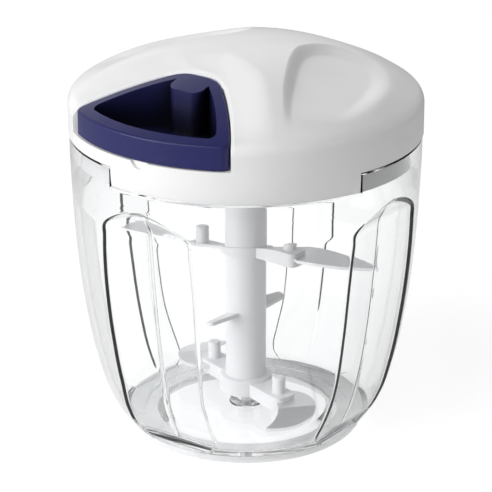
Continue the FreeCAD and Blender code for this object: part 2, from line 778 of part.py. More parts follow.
def drive_hub():
    """Ratchet drum, journal and hexagon spindle in one piece."""
    root = tooth_tip_radius - tooth_depth
    step = 2 * math.pi / tooth_count
    teeth = []
    for i in range(tooth_count):
        a = step * i
        teeth.append((tooth_tip_radius * math.cos(a), tooth_tip_radius * math.sin(a)))
        teeth.append((root * math.cos(a), root * math.sin(a)))
    drum = plate(teeth, drum_bottom_z, drum_top_z)
    journal = rod(journal_radius, plate_bottom_z - 0.8, drum_bottom_z)
    spindle = hexagon(hex_across_flats, spindle_foot_z, plate_bottom_z - 0.8)
    hub = joined([drum, journal, spindle])
    return hub.cut(rod(axle_radius + running_fit, drum_bottom_z + 0.6, drum_top_z + 1))


def reel_axle():
    foot = drum_bottom_z + 1.0
    pin = rod(axle_radius, foot, axle_boss_z + axle_grip - 0.1)
    slot = Part.makeBox(0.8, spring_height, spring_height + 1, V(-0.4, 0.9, groove_bottom_z + 0.8))
    return pin.cut(slot)


def reel_washer():
    low = drum_top_z + running_fit
    return ring(axle_radius + press_gap, washer_radius, low, low + washer_thickness)


# Reel
def reel():
    bore = axle_radius + running_fit
    core = ring(reel_core_radius - reel_wall, reel_core_radius, reel_bottom_z, groove_top_z)
    flange = ring(bore, reel_flange_radius, reel_bottom_z, groove_bottom_z)
    body = joined([core, flange])
    for place in pawl_points():
        body = body.cut(rod(pawl_pin_radius + press_gap, reel_bottom_z - 1, groove_bottom_z + 1, place))
    return body


def reel_cover():
    bore = axle_radius + running_fit
    disc = ring(bore, reel_flange_radius, groove_top_z, reel_top_z)
    cavity = reel_core_radius - reel_wall
    lip = ring(cavity - 1.4, cavity - press_gap, groove_top_z - 1.2, groove_top_z)
    return joined([disc, lip])


def recoil_spring():
    """Flat spiral strip of half turns about two centres, from the axle to the reel's wall."""
    outer = reel_core_radius - reel_wall - 0.3
    pitch = (outer - spring_inner_radius - spring_thickness) / spring_turns
    quarter = pitch / 4
    low = groove_bottom_z + 0.8

    def side(extra):
        edges = []
        for i in range(2 * spring_turns):
            radius = spring_inner_radius + extra + pitch / 2 * i + quarter
            centre = quarter if i % 2 == 0 else -quarter
            sign = 1 if i % 2 == 0 else -1
            start = V(centre - sign * radius, 0, low)
            end = V(centre + sign * radius, 0, low)
            edges.append(Part.Arc(start, V(centre, sign * radius, low), end).toShape())
        return edges

    near = side(0.0)
    far = side(spring_thickness)
    inner_end = Part.makeLine(near[0].Vertexes[0].Point, far[0].Vertexes[0].Point)
    outer_end = Part.makeLine(near[-1].Vertexes[-1].Point, far[-1].Vertexes[-1].Point)
    wire = Part.Wire(Part.__sortEdges__(near + [outer_end] + far + [inner_end]))
    print("recoil_spring: least gap to itself %.2f mm" % (pitch - spring_thickness))
    return Part.Face(wire).extrude(V(0, 0, spring_height))


# Pawls
def pawl_points():
    angle = math.radians(pawl_angle)
    first = V(pawl_place * math.cos(angle), pawl_place * math.sin(angle), 0)
    return [first, V(-first.x, -first.y, 0)]


def pawl(index):
    """Lever from its pin to the face of a tooth, drawn for the tooth face along +X."""
    low = drum_bottom_z + (drum_height - pawl_height) / 2
    root = tooth_tip_radius - tooth_depth
    tip = tooth_tip_radius
    start = math.degrees(pawl_gap / root)
    inner = [(root + 0.4, start), (root + 1.4, 14.0), (tip + 0.8, 30.0), (tip + 2.0, 45.0)]
    outer = [(pawl_place + pawl_eye_radius - 0.4, 50.0), (pawl_place - 0.3, 25.0), (tip + 1.8, start)]
    corners = [(r * math.cos(math.radians(a)), r * math.sin(math.radians(a)))
               for r, a in inner + outer]
    pin = pawl_points()[0]
    lever = joined([plate(corners, low, low + pawl_height),
                    rod(pawl_eye_radius, low, low + pawl_height, pin)])
    lever = lever.cut(rod(pawl_pin_radius + running_fit, low - 1, low + pawl_height + 1, pin))
    return turned_about_axis(lever, 180 * index)


def pawl_pins():
    low = plate_top_z + drive_flange
    pins = [joined([rod(pawl_pin_radius + 0.8, low, low + pawl_pin_head, p),
                    rod(pawl_pin_radius, low, groove_bottom_z, p)]) for p in pawl_points()]
    return Part.makeCompound(pins)


# Cord
def biarc(p0, t0, p1, t1):
    """Two tangent arcs between two points with given unit directions."""
    v = p1 - p0
    t = t0 + t1
    a = 2 * (1 - t0.dot(t1))
    b = 2 * v.dot(t)
    c = -v.dot(v)
    d = (-b + math.sqrt(b * b - 4 * a * c)) / (2 * a)
    middle = (p0 + p1 + (t0 - t1) * d) * 0.5
    return [Part.Arc(p0, on_arc(p0, t0, middle), middle).toShape(),
            Part.Arc(middle, on_arc(p1, t1 * -1, middle), p1).toShape()]


def on_arc(start, direction, end):
    """Middle point of the arc that leaves start in a direction and reaches end."""
    chord = end - start
    side = chord - direction * chord.dot(direction)
    half = math.atan2(side.Length, chord.dot(direction))
    side.normalize()
    radius = chord.Length / (2 * math.sin(half))
    along = direction * (radius * math.sin(half))
    return start + along + side * (radius * (1 - math.cos(half)))


def lead_points():
    """Where the cord leaves the winding, and the corner where it turns to the eyelet."""
    angle = math.acos(winding_radius / lead_corner_y)
    leave = V(winding_radius * math.sin(angle), -winding_radius * math.cos(angle), cord_exit_z)
    return leave, V(0, -lead_corner_y, cord_exit_z)


def swept(edges, radius):
    wire = Part.Wire(edges)
    start = edges[0].Vertexes[0].Point
    along = edges[0].tangentAt(edges[0].FirstParameter)
    if (edges[0].valueAt(edges[0].FirstParameter) - start).Length > 1e-6:
        along = along * -1
    section = Part.Wire([Part.makeCircle(radius, start, along)])
    return wire.makePipeShell([section], True, False)


def cord_winding():
    """One layer of cord on the reel, from the exit at the top down to its anchor."""
    leave, _ = lead_points()
    first = math.atan2(leave.y, leave.x)
    quarter_turns = round(cord_turns * 4)
    fall = cord_pitch / (2 * math.pi)

    def point(a):
        return V(winding_radius * math.cos(first + a), winding_radius * math.sin(first + a),
                 cord_exit_z - fall * a)

    def heading(a):
        d = V(-winding_radius * math.sin(first + a), winding_radius * math.cos(first + a), -fall)
        return d.normalize()

    edges = []
    for i in range(quarter_turns):
        a, b = math.pi / 2 * i, math.pi / 2 * (i + 1)
        edges += biarc(point(a), heading(a), point(b), heading(b))
    print("cord_winding: least gap to itself %.2f mm, radius %.2f mm"
          % (cord_pitch - cord_diameter, winding_radius))
    return swept(edges, cord_diameter / 2)


def cord_lead():
    """The cord from the winding to the eyelet, with one bend at the lid's middle line."""
    leave, corner = lead_points()
    run = (corner - leave).normalize()
    ahead = V(0, -1, 0)
    turn = run.getAngle(ahead)
    cut = lead_bend_radius * math.tan(turn / 2)
    bend_in = corner - run * cut
    bend_out = corner + ahead * cut
    start = leave + run * 0.3
    end = V(0, -eyelet_y + 0.9, cord_exit_z)
    edges = [Part.makeLine(start, bend_in),
             Part.Arc(bend_in, on_arc(bend_in, run, bend_out), bend_out).toShape(),
             Part.makeLine(bend_out, end)]
    print("cord_lead: bend radius %.2f mm, turn %.0f degrees" % (lead_bend_radius, math.degrees(turn)))
    return swept(edges, cord_diameter / 2)


def pull_cord():
    start = V(0, -eyelet_y + 0.9, cord_exit_z)
    return Part.makeCylinder(cord_diameter / 2, start.y + knot_face_y, start, V(0, -1, 0))


def cord_knot():
    knot = Part.makeSphere(knot_radius, V(0, -knot_y, cord_exit_z))
    return knot.cut(Part.makeCylinder(clear, clear, V(0, -knot_face_y, cord_exit_z), V(0, 1, 0)))


def cord_eyelet():
    """Metal eye in the pocket's back wall, with its flange inside the lid."""
    bore = eyelet_bore
    wall_out = V(0, -eyelet_y - pocket_wall + 0.1, cord_exit_z)
    inside = V(0, -eyelet_y + eyelet_flange + 0.05, cord_exit_z)
    reach = inside.y - wall_out.y
    tube = Part.makeCylinder(bore + eyelet_wall, reach, wall_out, V(0, 1, 0))
    flange = Part.makeCylinder(bore + eyelet_wall + 0.9, eyelet_flange,
                               V(0, -eyelet_y + 0.05, cord_exit_z), V(0, 1, 0))
    eye = joined([tube, flange]).cut(
        Part.makeCylinder(bore, reach + 2 * past, V(0, wall_out.y - past, cord_exit_z), V(0, 1, 0)))
    return eye


def build():
    upper_arm, upper_blade, upper_pegs = blade_set(
        upper_blade_z, upper_blade_heading, blade_wing, upper_tip_gap, upper_sweep, upper_tip_drop)
    lower_arm, lower_blade, lower_pegs = blade_set(
        lower_blade_z, lower_blade_heading, hooked_wing, lower_tip_gap, lower_sweep, lower_tip_drop)
    return {
        "bowl": bowl(),
        "base_grip_ring": base_grip_ring(),
        "pivot_pin": pivot_pin(),
        "column_bush": column_bush(),
        "blade_column": blade_column(),
        "middle_paddle": middle_paddle(),
        "upper_blade_arm": upper_arm,
        "upper_blade": upper_blade,
        "upper_blade_pegs": upper_pegs,
        "lower_blade_arm": lower_arm,
        "lower_blade": lower_blade,
        "lower_blade_pegs": lower_pegs,
        "lid_cover": lid_cover(),
        "mechanism_plate": mechanism_plate(),
        "plate_screws": plate_screws(),
        "drive_bush": drive_bush(),
        "drive_hub": drive_hub(),
        "reel_axle": reel_axle(),
        "reel_washer": reel_washer(),
        "reel": reel(),
        "reel_cover": reel_cover(),
        "recoil_spring": recoil_spring(),
        "pawl_a": pawl(0),
        "pawl_b": pawl(1),
        "pawl_pins": pawl_pins(),
        "cord_winding": cord_winding(),
        "cord_lead": cord_lead(),
        "pull_cord": pull_cord(),
        "cord_knot": cord_knot(),
        "cord_eyelet": cord_eyelet(),
        "handle": handle(),
    }


os.makedirs("parts", exist_ok=True)
for name, shape in build().items():
    print("%-18s solids %d valid %s volume %.0f" % (name, len(shape.Solids), shape.isValid(), shape.Volume))
    shape.exportStep("parts/%s.step" % name)
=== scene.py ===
import json
import math

import bpy
import numpy as np
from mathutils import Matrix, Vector


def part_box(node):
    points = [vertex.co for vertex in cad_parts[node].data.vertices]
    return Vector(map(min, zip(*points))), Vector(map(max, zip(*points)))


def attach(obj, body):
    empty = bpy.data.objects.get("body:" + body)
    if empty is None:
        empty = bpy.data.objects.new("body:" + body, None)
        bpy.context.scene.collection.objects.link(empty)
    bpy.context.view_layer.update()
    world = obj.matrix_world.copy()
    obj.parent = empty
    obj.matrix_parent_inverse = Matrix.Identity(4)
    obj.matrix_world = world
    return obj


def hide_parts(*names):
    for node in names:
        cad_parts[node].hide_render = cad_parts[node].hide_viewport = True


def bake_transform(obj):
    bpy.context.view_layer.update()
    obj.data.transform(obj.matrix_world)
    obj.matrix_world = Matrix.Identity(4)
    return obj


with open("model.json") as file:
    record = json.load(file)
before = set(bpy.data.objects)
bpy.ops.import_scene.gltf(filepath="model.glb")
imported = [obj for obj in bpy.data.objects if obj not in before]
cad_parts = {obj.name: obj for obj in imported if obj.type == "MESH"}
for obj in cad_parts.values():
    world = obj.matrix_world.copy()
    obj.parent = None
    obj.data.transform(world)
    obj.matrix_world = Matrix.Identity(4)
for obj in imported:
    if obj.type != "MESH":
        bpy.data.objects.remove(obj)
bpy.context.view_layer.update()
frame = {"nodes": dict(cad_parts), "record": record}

# Sizes are in millimetres. Headings are in degrees round +Z from -Y, the handle's side, towards +X.
MM = 0.001
lid_low, lid_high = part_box("lid_cover")
cord_low, cord_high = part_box("pull_cord")

# Camera: the photograph's place and lens, in metres
CAMERA_AZIMUTH = 38.5
CAMERA_ELEVATION = 20.9
CAMERA_DISTANCE = 1.0
CAMERA_TARGET = Vector((0, 0, 0.0727))
PHOTO_WIDTH = 492
FOCAL_PIXELS = 2584
SENSOR = 36.0

# Lid's outside: a dome whose ridge drops at the back, a rounded shoulder, a skirt that tapers, and a notch in it.
# SHOULDER_BEND is a first guess in radians, and SKIRT_ROUND lists (r, z) from the skirt's lower edge.
LID_RADIUS = 67.5
LID_TOP = lid_high.z / MM
LID_FOOT = lid_low.z / MM
LID_COLUMNS = 720
DOME_RIM = LID_TOP - 18.2
DOME_POWER = 2.7
TOP_STEPS = 120
SHOULDER = 6.0
SHOULDER_STEPS = 14
SHOULDER_BEND = 0.98
SHOULDER_ROUNDS = 4
SKIRT_INSET = 0.9
SKIRT_TAPER = 7.2
SKIRT_STEPS = 6
SKIRT_ROUND = [(-0.35, 0.0), (-0.08, 0.12), (0.0, 0.4)]
RIDGE_DROP = 1.9
RIDGE_START = 36.0
RIDGE_RUN = 24.0
RIDGE_HALF_WIDTH = 4.0
RIDGE_FADE = 20.0
NOTCH_RADIUS = 3.6
NOTCH_DEPTH = 1.2
NOTCH_HEADING = 3.5
NOTCH_Z = 126.8

# Scoops: edge of the one on +X, and its floor, which falls outwards from SCOOP_START. The wall is SCOOP_STEEP
# wide at first, and SCOOP_SOFTENS says at what share of the edge, and over what share, it widens to SCOOP_SOFT.
SCOOP_EDGE = [(56.7, -50.5), (48, -39.3), (38.8, -27.5), (33.3, -20.1), (25, -7.2), (19.1, 2.9),
              (15.3, 11.6), (15.1, 20.6), (18.3, 29), (24.9, 34.4), (32, 36.4), (39.4, 35.6),
              (46.3, 31.8), (51.7, 26.2), (56, 18.5), (60.2, 7.4), (63.9, -5.7), (65.6, -15.7)]
SCOOP_EDGE_STEPS = 24
SCOOP_FLOOR = 148.3
SCOOP_START = 20.0
SCOOP_FALL = 0.2194
SCOOP_ROUND = 0.8
SCOOP_STEEP = 3.4
SCOOP_SOFT = 11.0
SCOOP_SOFTENS = (0.36, 0.22)

# Lid's inside: the plug that goes into the bowl's neck, the hollow above it, its posts and the cord's hole
LID_WALL = 2.2
INNER_STEPS = 60
NECK_GAP = 0.3
PLUG_GAP = 0.4
PLUG_WALL = 2.0
PLUG_FOOT = 116.5
CEILING_Z = 124.5
INNER_RIM_Z = 127.0
CUTTER_TOP = 175.0
CUTTER_REACH = 5.0
POST_RADIUS = 3.8
POST_PLACE = 53.0
POST_HEADINGS = (62.0, 125.0, 235.0, 298.0)
AXLE_POST_RADIUS = 5.6
AXLE_POST_FOOT = 138.9
EYELET_RADIUS = 2.62
EYELET_Z = 135.9
EYELET_Y = (-30.0, -20.0)

# Handle's outline, which the lid's pocket follows
HANDLE_ANGLE = math.radians(33.5)
HANDLE_FACE = 66.6
NOSE_Y = 26.5
NOSE_HALF_WIDTH = 8.6
NOSE_RADIUS = 12.5
NOSE_STEPS = 14
SIDE_BULGE = 1.3
SIDE_STEPS = 70
HANDLE_TOP = [(67.6, 134.8), (46.55, 142.2), (24.5, 148.9)]
POCKET_REACH = 66.0
POCKET_GAP = 0.4
POCKET_WALL = 1.8
POCKET_FLOOR = 126.0
POCKET_LIP = 0.3
POCKET_BLEND = 17.0
EDGE_ROUND = 0.9

# Bowl: (r, z) profiles and the heights of its rings, and the lugs on its rim, which fill gaps in the lid's skirt.
# SEAM_MARGINS keep the faces of those gaps that get painted shade above the skirt's foot, below the gap's top and
# off the bore, and SEAM_FACING holds the least and most that they face outwards.
RIM_RADIUS = 67.1
RIM_Z = 113.0
NECK_RADIUS = 64.2
NECK_TOP = 122.0
NECK_WALL = 2.4
NECK_SLOPE = 0.14
BOWL_WALL = 2.5
BOWL_SIDE = [(46.0, 4.5), (50.4, 10.0), (54.0, 17.0), (58.7, 32.0), (62.5, 52.0), (65.3, 76.0), (66.6, 98.0),
             (67.1, 113.0)]
OUTER_HEIGHTS = np.concatenate([np.linspace(4.7, 20, 24), np.linspace(21, 92, 60), np.linspace(93, 107, 36),
                                np.linspace(108, RIM_Z - 0.4, 8)])
INNER_HEIGHTS = np.concatenate([np.linspace(RIM_Z - 1, 93, 24), np.linspace(92, 21, 50),
                                np.linspace(20, 10, 16)])
FOOT_PROFILE = [(0, 4.2), (31.5, 4.2), (34.5, 1.2), (39.0, 1.2), (39.0, 4.5), (45.9, 4.5)]
RIM_PROFILE = [(RIM_RADIUS - 0.15, RIM_Z - 0.1), (RIM_RADIUS - 0.4, RIM_Z), (NECK_RADIUS, RIM_Z),
               (NECK_RADIUS, NECK_TOP - 0.6), (NECK_RADIUS - 0.2, NECK_TOP - 0.15),
               (NECK_RADIUS - 0.6, NECK_TOP), (NECK_RADIUS - NECK_WALL + 0.4, NECK_TOP),
               (NECK_RADIUS - NECK_WALL, NECK_TOP - 0.4), (NECK_RADIUS - NECK_WALL, RIM_Z)]
FLOOR_Z = 8.0
FLOOR_CORNER_Z = 10.0
FLOOR_CORNER = 6.0
FLOOR_PROFILE = [(36.0, FLOOR_Z), (6.6, FLOOR_Z), (6.2, FLOOR_Z + 0.4), (6.2, 12.9), (5.9, 13.2),
                 (2.05, 13.2), (2.05, 5.7), (0, 5.7)]
LUG_TOP = 120.0
LUG_STARTS = (77.5, -102.5)
LUG_SPAN = 93.0
LUG_ROOT = 0.5
LUG_GAP = 0.3
LUG_SIDE_GAP = 0.27
LUG_BEVEL = 1.1
LUG_BEVEL_DEPTH = 1.3
SEAM_MARGINS = (0.6, 2.0, 0.3)
SEAM_FACING = (-0.5, 0.9)

# Flutes of the bowl's side: two faces each, which meet in a crease. The steps are distances of mesh columns from
# an edge or a crease. EDGE_FADE is the half width at which the edge's groove starts, and over which it deepens.
# CREASE_FADES are the lengths over which the crease's rib fades: beside narrow places, below and above.
FLUTES = 4
FLUTE_HEADING = 3.0
FLUTE_SLOPE = math.tan(math.radians(4))
SLOPE_FOOT = 6.0
SLOPE_RISE = 30.0
CREASE = [(41.6, 0.0), (44.6, 6.0), (50.2, 18.0), (54.8, 35.0), (58.1, 54.5), (60.7, 78.0), (61.9, 92.0),
          (62.4, 97.5), (64.4, 101.8), (66.2, 105.0), (69.0, 109.5), (72.0, 118.0)]
NO_FLUTE = 0.004
FLUTE_ROUND = 0.25
EDGE_STEPS = np.array([1.6, 1.1, 0.8, 0.55, 0.3, 0.12])
EDGE_DEPTH = 0.6
EDGE_WIDTH = 0.8
EDGE_FADE = (0.3, 1.5)
CREASE_STEPS = np.array([0, 0.12, 0.3, 0.5, 0.75, 1.1])
CREASE_DEPTH = 0.8
CREASE_WIDTH = 0.9
CREASE_FOOT = 9.0
CREASE_TOP = 101.0
CREASE_FADES = (4.0, 3.0, 4.0)
INNER_COLUMNS = 14
LAND_COLUMNS = 18

# Pull cord: its braid stands proud by a share of its radius
CORD_RINGS = 97
CORD_SIDES = 16
BRAID_HEIGHT = 0.04
BRAID_STRANDS = 4
BRAID_TWIST = 0.9

# Noise of the materials, in features to the metre
CLOUDS = 35
SATIN = 90
MOULD_GRAIN = 2600

# Studio, in metres. LIGHT is what the floor and the world give the object, and SHOWN and GLOW what rays from
# the camera see. HORIZON fades the world by height (from, to, value there, value there), GLOSS_POOL paints a pool
# of light on the floor in reflections by distance in the same order, and WORLD_MIRRORED dims the world in
# reflections.
FLOOR_HALF = 6.0
FLOOR_LIGHT = (0.9, 0.9, 0.9, 1)
FLOOR_SHOWN = (0.45, 0.45, 0.45, 1)
FLOOR_GLOW = 0.7
WORLD_LIGHT = 0.4
WORLD_MIRRORED = 0.75
HORIZON = (0.35, 0.6, 1.0, 0.12)
GLOSS_POOL = (0.22, 0.45, 1.0, 0.35)

# Faces that meet at more than this look sharp
SHARP_ANGLE = math.radians(32)


def direction(azimuth, elevation):
    """Unit vector from the object towards an azimuth and elevation, in degrees."""
    a, e = math.radians(azimuth), math.radians(elevation)
    return Vector((math.sin(a) * math.cos(e), -math.cos(a) * math.cos(e), math.sin(e)))


def aim(thing, azimuth, elevation, distance):
    """Place a camera or lamp round the object, so that it looks at the camera's target."""
    back = direction(azimuth, elevation)
    thing.location = CAMERA_TARGET + back * distance
    thing.rotation_mode = "QUATERNION"
    thing.rotation_quaternion = (-back).to_track_quat("-Z", "Y")
    bpy.context.scene.collection.objects.link(thing)


def make_camera():
    data = bpy.data.cameras.new("camera")
    data.sensor_width = SENSOR
    data.lens = SENSOR * FOCAL_PIXELS / PHOTO_WIDTH
    data.clip_start = 0.01
    data.clip_end = 50
    camera = bpy.data.objects.new("camera", data)
    aim(camera, CAMERA_AZIMUTH, CAMERA_ELEVATION, CAMERA_DISTANCE)
    bpy.context.scene.camera = camera


# Meshes
def make_piece(name, points, faces):
    """Object from points in millimetres."""
    mesh = bpy.data.meshes.new(name)
    mesh.from_pydata((np.asarray(points) * MM).tolist(), [], faces)
    mesh.validate()
    piece = bpy.data.objects.new(name, mesh)
    bpy.context.scene.collection.objects.link(piece)
    return piece


def polar(r, heading, z):
    """Points from distances, headings in radians and heights."""
    return np.stack([r * np.sin(heading), -r * np.cos(heading), z], -1)


def axis_point(z):
    return polar(np.zeros(1), np.zeros(1), np.atleast_1d(z)[:1])


def turned(name, rings):
    """Closed solid from rings of (r, headings, z), the first and last of which lie on the axis."""
    count = len(rings[0][1])
    points = [axis_point(rings[0][2])]
    for r, headings, z in rings[1:-1]:
        points.append(polar(r * np.ones(count), headings, z * np.ones(count)))
    points.append(axis_point(rings[-1][2]))
    points = np.concatenate(points)
    last = len(points) - 1
    top = last - count
    faces = []
    for i in range(count):
        k = (i + 1) % count
        faces.append((0, 1 + k, 1 + i))
        faces.append((last, top + i, top + k))
        for a in range(1, top, count):
            faces.append((a + i, a + k, a + count + k, a + count + i))
    return make_piece(name, points, faces)


def ring_rows(profile, headings):
    """Rings of a turned solid from (r, z) points."""
    return [(float(r), headings, float(z)) for r, z in profile]


def stacked(name, rings):
    """Closed solid from rings with equally many points, which run anticlockwise seen from the last ring."""
    count = len(rings[0])
    last = (len(rings) - 1) * count
    faces = [tuple(range(count - 1, -1, -1)), tuple(range(last, last + count))]
    for a in range(0, last, count):
        for i in range(count):
            k = (i + 1) % count
            faces.append((a + i, a + k, a + count + k, a + count + i))
    return make_piece(name, np.concatenate(rings), faces)


def prism(name, outline, z0, z1):
    """Upright solid over an outline of (x, y) points that runs anticlockwise."""
    return stacked(name, [np.c_[outline, np.full(len(outline), z)] for z in (z0, z1)])


def sector(name, inner, outer, z0, z1, start, span, flare=0.0, steps=94):
    """Part of a ring from a heading over a span, its outer face larger by flare at both ends and above."""
    sweep = math.degrees(flare / outer)
    near = np.radians(np.linspace(start, start + span, steps))
    far = np.radians(np.linspace(start - sweep, start + span + sweep, steps))
    one = np.ones(steps)
    points = np.concatenate([polar(inner * one, near, z0 * one), polar(outer * one, far, z0 * one),
                             polar(outer * one, far, (z1 + flare) * one), polar(inner * one, near, z1 * one)])
    faces = [(0, steps, 2 * steps, 3 * steps), tuple(k * steps - 1 for k in (4, 3, 2, 1))]
    for i in range(steps - 1):
        for k in range(4):
            a, c = k * steps + i, (k + 1) % 4 * steps + i
            faces.append((a, a + 1, c + 1, c))
    return make_piece(name, points, faces)


def round_rod(name, radius, start, end, sides=48):
    """Cylinder between two points."""
    start, end = np.array(start, float), np.array(end, float)
    along = Vector(end - start).normalized()
    side = along.orthogonal().normalized()
    other = along.cross(side)
    a = np.linspace(0, 2 * math.pi, sides, endpoint=False)
    ring = np.outer(np.cos(a), side) * radius + np.outer(np.sin(a), other) * radius
    return stacked(name, [ring + start, ring + end])


def combine(piece, other, operation="DIFFERENCE"):
    """Boolean with another closed piece, which is used up."""
    modifier = piece.modifiers.new(operation, "BOOLEAN")
    modifier.operation = operation
    modifier.object = other
    modifier.solver = "MANIFOLD"
    graph = bpy.context.evaluated_depsgraph_get()
    mesh = bpy.data.meshes.new_from_object(piece.evaluated_get(graph))
    piece.modifiers.clear()
    piece.data = mesh
    bpy.data.objects.remove(other)


def finish_piece(piece, node, body, slot):
    piece.data.materials.clear()
    piece.data.materials.append(MATERIALS[slot])
    piece.data.polygons.foreach_set("use_smooth", [True] * len(piece.data.polygons))
    piece.data.set_sharp_from_angle(angle=SHARP_ANGLE)
    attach(piece, body)
    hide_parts(node)


def through(points, at):
    """Smooth curve r(z) through (r, z) points, read at heights."""
    r, z = np.array(points, float).T
    slope = np.gradient(r, z)
    k = np.clip(np.searchsorted(z, at) - 1, 0, len(z) - 2)
    width = z[k + 1] - z[k]
    t = (at - z[k]) / width
    return ((2 * t**3 - 3 * t**2 + 1) * r[k] + (t**3 - 2 * t**2 + t) * width * slope[k]
            + (3 * t**2 - 2 * t**3) * r[k + 1] + (t**3 - t**2) * width * slope[k + 1])


def smooth(t):
    """Soft step from 0 to 1."""
    t = np.clip(t, 0, 1)
    return t * t * (3 - 2 * t)


def soft_min(a, b, k):
    """The smaller of two values, with the step between them rounded over k."""
    h = np.clip(0.5 + 0.5 * (b - a) / k, 0, 1)
    return b + (a - b) * h - k * h * (1 - h)


# Bowl
def flute_slope(z):
    """Slope of a flute's two faces away from its crease, which are flat at the foot."""
    return FLUTE_SLOPE * smooth((z - SLOPE_FOOT) / SLOPE_RISE)


def flute_edge(z):
    """Half of a flute's width at heights, as the angle where its face meets the bowl's side."""
    share = through(CREASE, z) / through(BOWL_SIDE, z)
    slope = flute_slope(z)
    angle = np.arccos(np.clip(share / np.hypot(1, slope), -1, 1)) - np.arctan(slope)
    return np.where(share < 1, np.maximum(angle, NO_FLUTE), NO_FLUTE)


def bowl_ring(z, inset):
    """Radii and headings of one ring of the fluted side, its columns gathered at edges and creases.

    The outside has a fine groove along each flute's edge, and the inside a fine rib behind each crease.
    """
    side = through(BOWL_SIDE, z) - inset
    crease = through(CREASE, z) - inset
    edge = flute_edge(z)
    near = np.minimum(CREASE_STEPS / side, edge * CREASE_STEPS / 4)
    far = edge - np.minimum(EDGE_STEPS / side, edge * EDGE_STEPS / 3)
    middle = np.linspace(near[-1], far[0], INNER_COLUMNS + 1)[1:-1]
    land = edge + np.concatenate([[0], EDGE_STEPS[::-1] / side])
    land = np.concatenate([land, np.linspace(land[-1], math.pi / FLUTES, LAND_COLUMNS + 1)[1:]])
    half = np.concatenate([near, middle, far, land])
    flute = crease / (np.cos(half) - flute_slope(z) * np.sin(half))
    r = soft_min(side, flute, FLUTE_ROUND)
    if inset:
        beside, below, above = CREASE_FADES
        rib = smooth((edge * side - CREASE_WIDTH) / beside)
        rib = rib * smooth((z - CREASE_FOOT) / below) * smooth((CREASE_TOP - z) / above)
        r = r - CREASE_DEPTH * rib * smooth(1 - half * side / CREASE_WIDTH)
    else:
        least, fade = EDGE_FADE
        groove = smooth((edge * side - least) / fade)
        r = r - EDGE_DEPTH * groove * smooth((edge - half) * side / EDGE_WIDTH)
    half = np.concatenate([-half[:0:-1], half[:-1]])
    r = np.concatenate([r[:0:-1], r[:-1]])
    turns = [math.radians(FLUTE_HEADING) + k * 2 * math.pi / FLUTES for k in range(FLUTES)]
    return np.tile(r, FLUTES), np.concatenate([half + turn for turn in turns])


def make_bowl():
    headings = bowl_ring(60.0, 0)[1]
    rings = ring_rows(FOOT_PROFILE, headings)
    for z in OUTER_HEIGHTS:
        r, turn = bowl_ring(z, 0)
        rings.append((r, turn, z))
    rings += ring_rows(RIM_PROFILE, bowl_ring(RIM_Z, 0)[1])
    for z in INNER_HEIGHTS:
        r, turn = bowl_ring(z, BOWL_WALL)
        rings.append((np.minimum(r, NECK_RADIUS - NECK_WALL + (RIM_Z - z) * NECK_SLOPE), turn, z))
    corner, turn = bowl_ring(FLOOR_CORNER_Z, BOWL_WALL)
    for a in np.radians(np.linspace(15, 90, 8)):
        rings.append((corner - FLOOR_CORNER * (1 - np.cos(a)), turn,
                      FLOOR_CORNER_Z - (FLOOR_CORNER_Z - FLOOR_Z) * np.sin(a)))
    rings += ring_rows(FLOOR_PROFILE, headings)
    piece = turned("clear_bowl", rings)
    for start in LUG_STARTS:
        lug = sector("lug", NECK_RADIUS - LUG_ROOT, RIM_RADIUS, RIM_Z - LUG_ROOT, LUG_TOP, start, LUG_SPAN)
        combine(piece, lug, "UNION")
    finish_piece(piece, "bowl", "bowl", "clear_plastic")
    piece.visible_shadow = False


# Lid
def smooth_curve(points, steps):
    """Catmull-Rom curve through points in the plane."""
    p = np.array(points, float)
    p = np.vstack([2 * p[0] - p[1], p, 2 * p[-1] - p[-2]])
    t = np.linspace(0, 1, steps, endpoint=False)[:, None]
    out = []
    for a, b, c, d in zip(p, p[1:], p[2:], p[3:]):
        out.append(0.5 * (2 * b + (c - a) * t + (2 * a - 5 * b + 4 * c - d) * t**2
                          + (3 * b - a - 3 * c + d) * t**3))
    return np.vstack(out + [p[-2:-1]])


SCOOP_CURVE = smooth_curve(SCOOP_EDGE, SCOOP_EDGE_STEPS)


def scoop_wall(x, y):
    """Share of the scoop's depth at points: 0 outside its edge, 1 past its wall."""
    start, end = SCOOP_CURVE[:-1], SCOOP_CURVE[1:]
    run = end - start
    q = np.stack([x.ravel(), y.ravel()], -1)
    best = np.full(len(q), 1e9)
    inside = np.zeros(len(q))
    share = np.zeros(len(q))
    for k in range(len(run)):
        off = q - start[k]
        t = np.clip(off @ run[k] / (run[k] @ run[k]), 0, 1)
        gap = np.hypot(*(off - t[:, None] * run[k]).T)
        nearer = gap < best
        best = np.where(nearer, gap, best)
        turn = run[k][0] * off[:, 1] - run[k][1] * off[:, 0]
        inside = np.where(nearer, turn < 0, inside)
        share = np.where(nearer, (k + t) / len(run), share)
    soft_from, soft_over = SCOOP_SOFTENS
    width = SCOOP_STEEP + (SCOOP_SOFT - SCOOP_STEEP) * smooth((share - soft_from) / soft_over)
    return (smooth(best / width) * inside).reshape(x.shape)


def circle_through(p, q, s):
    """Centre and radius of the circle through three points."""
    p, q, s = np.array(p), np.array(q), np.array(s)
    centre = np.linalg.solve(2 * np.array([q - p, s - p]), [q @ q - p @ p, s @ s - p @ p])
    return centre, np.hypot(*(p - centre))


def handle_top_z(r):
    """Height of the handle's top at distances from the axis, level nearer to it than the nose."""
    centre, radius = circle_through(*HANDLE_TOP)
    return centre[1] + np.sqrt(radius**2 - (np.maximum(r, HANDLE_TOP[2][0]) - centre[0]) ** 2)


